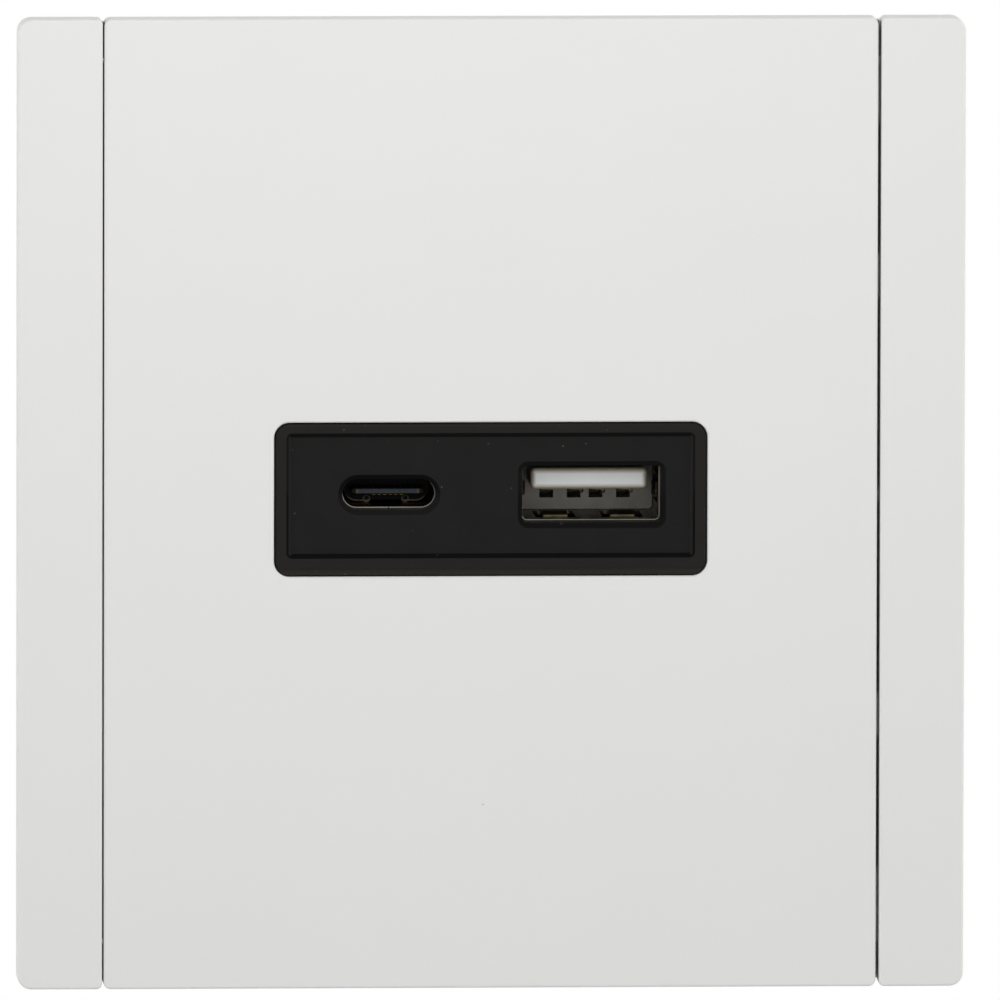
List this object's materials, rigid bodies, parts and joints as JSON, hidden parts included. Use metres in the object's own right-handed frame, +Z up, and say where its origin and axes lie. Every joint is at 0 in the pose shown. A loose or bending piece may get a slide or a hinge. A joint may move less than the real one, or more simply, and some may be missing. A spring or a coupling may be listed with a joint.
{
  "type": "usb wall socket",
  "caption": "Flush-mounted wall plate with a black insert that holds a USB-C and a USB-A charging port, with a converter housing, support ring and push-in terminals behind",
  "frame": {"origin": "on the wall plane, midway between the wall screws", "axes": "+X right and +Z up as seen from the room, +Y into the wall"},
  "size_m": [0.086, 0.0373, 0.0882],
  "materials": {
    "white_cover": "satin moulded",
    "black_front": "satin moulded",
    "black_housing": "fine spark texture",
    "ring_steel": "zinc plated",
    "screw_steel": "zinc plated",
    "port_steel": "rolled",
    "black_nylon": "moulded",
    "gold_contact": "plated",
    "clip_brass": "stamped",
    "white_nylon": "moulded",
    "circuit_board": "solder mask",
    "chip_black": "moulded",
    "capacitor_can": "drawn",
    "ferrite": "sintered",
    "clear_film": "clear film",
    "winding_tape": "wound tape",
    "capacitor_sleeve": "shrunk sleeve",
    "resistor_coat": "dipped",
    "film_box": "moulded",
    "blue_epoxy": "dipped",
    "terminal_grey": "moulded",
    "busbar_copper": "stamped",
    "spring_steel": "rolled strip",
    "button_orange": "moulded"
  },
  "bodies": {
    "socket": {"surround_frame": "white_cover", "centre_cover": "white_cover", "housing_front": "black_front", "housing_rear": "black_housing", "support_ring": "ring_steel", "housing_screws": "screw_steel", "usb_c_shell": "port_steel", "usb_c_insulator": "black_nylon", "usb_c_contacts": "gold_contact", "usb_c_ground_clip": "clip_brass", "usb_a_shell": "port_steel", "usb_a_insulator": "white_nylon", "usb_a_contacts": "gold_contact", "port_board": "circuit_board", "port_board_chips": "chip_black", "output_capacitors": "capacitor_can", "output_choke": "ferrite", "link_header": "black_nylon", "link_pins": "gold_contact", "power_board": "circuit_board", "insulating_sheet": "clear_film", "transformer_core": "ferrite", "transformer_bobbin": "black_nylon", "transformer_winding": "winding_tape", "bulk_capacitors": "capacitor_sleeve", "input_choke": "ferrite", "rectifier": "chip_black", "optocoupler": "white_nylon", "switch_chip": "chip_black", "fuse_resistor": "resistor_coat", "film_capacitor": "film_box", "disc_capacitor": "blue_epoxy", "terminal_block": "terminal_grey", "line_busbar": "busbar_copper", "neutral_busbar": "busbar_copper", "line_clamp_spring": "spring_steel", "neutral_clamp_spring": "spring_steel"},
    "line_button": {"line_release_button": "button_orange"},
    "neutral_button": {"neutral_release_button": "button_orange"}
  },
  "joints": [
    {"name": "line_release", "type": "slide", "parent": "socket", "child": "line_button", "axis": [0, -1, 0], "range_m": [0, 0.0015], "stiffness_N_per_m": 4000, "deforming": ["line_clamp_spring"]},
    {"name": "neutral_release", "type": "slide", "parent": "socket", "child": "neutral_button", "axis": [0, -1, 0], "range_m": [0, 0.0015], "stiffness_N_per_m": 4000, "deforming": ["neutral_clamp_spring"]}
  ]
}
